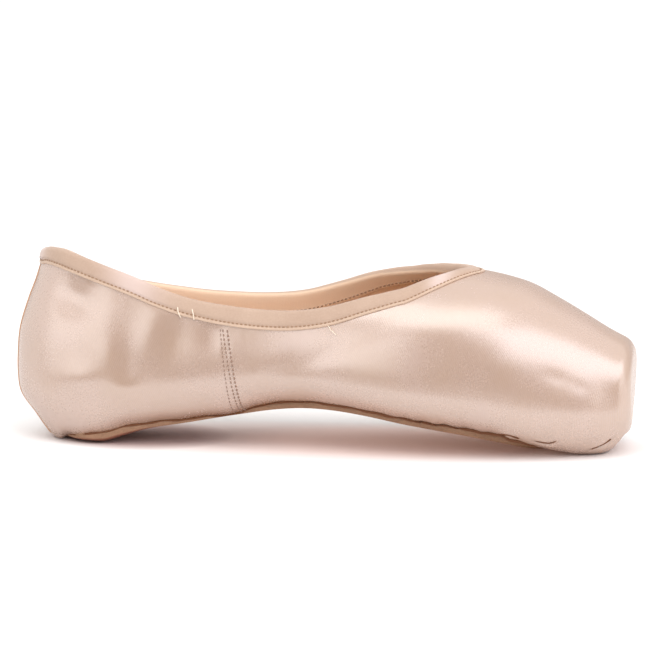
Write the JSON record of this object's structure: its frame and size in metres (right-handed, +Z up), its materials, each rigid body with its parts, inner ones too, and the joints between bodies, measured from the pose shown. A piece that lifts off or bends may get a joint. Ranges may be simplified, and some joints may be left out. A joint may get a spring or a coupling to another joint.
{
  "type": "pointe shoe",
  "caption": "Satin pointe shoe with a stiffened box, flat toe platform, bound collar and a narrow leather sole, standing empty.",
  "frame": {"origin": "on the floor, under the middle of the shoe's bounding box", "axes": "+X from heel to toe, +Z up, -Y to the side that faces the camera in the picture"},
  "size_m": [0.237, 0.0736, 0.0741],
  "materials": {
    "satin": "pale peach-pink satin",
    "binding_tape": "matte beige cotton tape",
    "sole_leather": "tan leather with a raw edge and a darker bevel at the heel",
    "sock_lining": "matte peach cotton"
  },
  "bodies": {
    "root": {"upper": "satin", "binding": "binding_tape", "outsole": "sole_leather", "insole": "sock_lining"}
  },
  "joints": []
}
